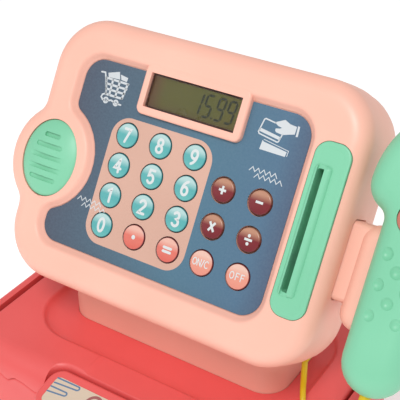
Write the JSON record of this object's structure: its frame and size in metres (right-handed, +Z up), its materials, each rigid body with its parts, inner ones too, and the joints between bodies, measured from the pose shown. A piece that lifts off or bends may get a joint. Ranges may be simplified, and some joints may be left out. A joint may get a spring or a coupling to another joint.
{
  "type": "toy cash register",
  "caption": "Toy cash register with a drawer base, tilted keypad head, display, card swipe slot and a corded hand scanner in a side cradle.",
  "frame": {"origin": "centre of the base's underside, on the table", "axes": "+Z up; -Y is the front, the way the drawer opens; +X is the side with the hand scanner"},
  "size_m": [0.2803, 0.1612, 0.2304],
  "materials": {
    "peach_plastic": "satin",
    "coral_plastic": "satin",
    "mint_plastic": "satin",
    "navy_overlay": "satin",
    "teal_key": "satin",
    "pink_key": "satin",
    "maroon_key": "satin",
    "cream_label": "satin",
    "lcd_glass": "satin",
    "clear_window": "clear",
    "yellow_cord": "satin",
    "dark_rubber": "matt",
    "circuit_green": "satin",
    "red_lens": "gloss",
    "steel": "brushed",
    "battery_wrap": "satin"
  },
  "bodies": {
    "register": {"base_screw_1": "steel", "base_screw_2": "steel", "base_screw_3": "steel", "base_screw_4": "steel", "base_top_cover": "coral_plastic", "base_tub": "coral_plastic", "battery_1": "battery_wrap", "battery_2": "battery_wrap", "battery_door": "peach_plastic", "card_slot_trim": "mint_plastic", "circuit_board": "circuit_green", "control_overlay": "navy_overlay", "handset_cord": "yellow_cord", "handset_cradle": "peach_plastic", "head_back_cover": "peach_plastic", "head_front_shell": "peach_plastic", "head_screw_1": "steel", "head_screw_2": "steel", "head_screw_3": "steel", "head_screw_4": "steel", "head_strain_relief": "yellow_cord", "key_mat": "dark_rubber", "lcd_module": "lcd_glass", "lcd_window": "clear_window", "neck_block": "peach_plastic", "speaker_driver": "dark_rubber", "speaker_grille": "mint_plastic"},
    "drawer": {"drawer_front": "coral_plastic", "drawer_label": "cream_label", "drawer_tray": "coral_plastic"},
    "handset": {"handset_back_shell": "mint_plastic", "handset_front_shell": "mint_plastic", "handset_strain_relief": "yellow_cord", "scanner_window": "red_lens"},
    "scan_button": {"scan_button": "pink_key"},
    "key_0": {"key_0": "teal_key"},
    "key_1": {"key_1": "teal_key"},
    "key_2": {"key_2": "teal_key"},
    "key_3": {"key_3": "teal_key"},
    "key_4": {"key_4": "teal_key"},
    "key_5": {"key_5": "teal_key"},
    "key_6": {"key_6": "teal_key"},
    "key_7": {"key_7": "teal_key"},
    "key_8": {"key_8": "teal_key"},
    "key_9": {"key_9": "teal_key"},
    "key_point": {"key_point": "pink_key"},
    "key_equals": {"key_equals": "pink_key"},
    "key_plus": {"key_plus": "maroon_key"},
    "key_minus": {"key_minus": "maroon_key"},
    "key_times": {"key_times": "maroon_key"},
    "key_divide": {"key_divide": "maroon_key"},
    "key_on_clear": {"key_on_clear": "pink_key"},
    "key_off": {"key_off": "pink_key"}
  },
  "joints": [
    {"name": "drawer_slide", "type": "slide", "parent": "register", "child": "drawer", "axis": [0, -1, 0], "range_m": [0, 0.085]},
    {"name": "handset_lift", "type": "slide", "parent": "register", "child": "handset", "axis": [0, -0.848, 0.5299], "range_m": [0, 0.06]},
    {"name": "scan_button_press", "type": "slide", "parent": "handset", "child": "scan_button", "axis": [0, 0.848, -0.5299], "range_m": [0, 0.0015], "stiffness_N_per_m": 300},
    {"name": "key_0_press", "type": "slide", "parent": "register", "child": "key_0", "axis": [0, 0.848, -0.5299], "range_m": [0, 0.001], "stiffness_N_per_m": 300},
    {"name": "key_1_press", "type": "slide", "parent": "register", "child": "key_1", "axis": [0, 0.848, -0.5299], "range_m": [0, 0.001], "stiffness_N_per_m": 300},
    {"name": "key_2_press", "type": "slide", "parent": "register", "child": "key_2", "axis": [0, 0.848, -0.5299], "range_m": [0, 0.001], "stiffness_N_per_m": 300},
    {"name": "key_3_press", "type": "slide", "parent": "register", "child": "key_3", "axis": [0, 0.848, -0.5299], "range_m": [0, 0.001], "stiffness_N_per_m": 300},
    {"name": "key_4_press", "type": "slide", "parent": "register", "child": "key_4", "axis": [0, 0.848, -0.5299], "range_m": [0, 0.001], "stiffness_N_per_m": 300},
    {"name": "key_5_press", "type": "slide", "parent": "register", "child": "key_5", "axis": [0, 0.848, -0.5299], "range_m": [0, 0.001], "stiffness_N_per_m": 300},
    {"name": "key_6_press", "type": "slide", "parent": "register", "child": "key_6", "axis": [0, 0.848, -0.5299], "range_m": [0, 0.001], "stiffness_N_per_m": 300},
    {"name": "key_7_press", "type": "slide", "parent": "register", "child": "key_7", "axis": [0, 0.848, -0.5299], "range_m": [0, 0.001], "stiffness_N_per_m": 300},
    {"name": "key_8_press", "type": "slide", "parent": "register", "child": "key_8", "axis": [0, 0.848, -0.5299], "range_m": [0, 0.001], "stiffness_N_per_m": 300},
    {"name": "key_9_press", "type": "slide", "parent": "register", "child": "key_9", "axis": [0, 0.848, -0.5299], "range_m": [0, 0.001], "stiffness_N_per_m": 300},
    {"name": "key_point_press", "type": "slide", "parent": "register", "child": "key_point", "axis": [0, 0.848, -0.5299], "range_m": [0, 0.001], "stiffness_N_per_m": 300},
    {"name": "key_equals_press", "type": "slide", "parent": "register", "child": "key_equals", "axis": [0, 0.848, -0.5299], "range_m": [0, 0.001], "stiffness_N_per_m": 300},
    {"name": "key_plus_press", "type": "slide", "parent": "register", "child": "key_plus", "axis": [0, 0.848, -0.5299], "range_m": [0, 0.001], "stiffness_N_per_m": 300},
    {"name": "key_minus_press", "type": "slide", "parent": "register", "child": "key_minus", "axis": [0, 0.848, -0.5299], "range_m": [0, 0.001], "stiffness_N_per_m": 300},
    {"name": "key_times_press", "type": "slide", "parent": "register", "child": "key_times", "axis": [0, 0.848, -0.5299], "range_m": [0, 0.001], "stiffness_N_per_m": 300},
    {"name": "key_divide_press", "type": "slide", "parent": "register", "child": "key_divide", "axis": [0, 0.848, -0.5299], "range_m": [0, 0.001], "stiffness_N_per_m": 300},
    {"name": "key_on_clear_press", "type": "slide", "parent": "register", "child": "key_on_clear", "axis": [0, 0.848, -0.5299], "range_m": [0, 0.001], "stiffness_N_per_m": 300},
    {"name": "key_off_press", "type": "slide", "parent": "register", "child": "key_off", "axis": [0, 0.848, -0.5299], "range_m": [0, 0.001], "stiffness_N_per_m": 300}
  ]
}
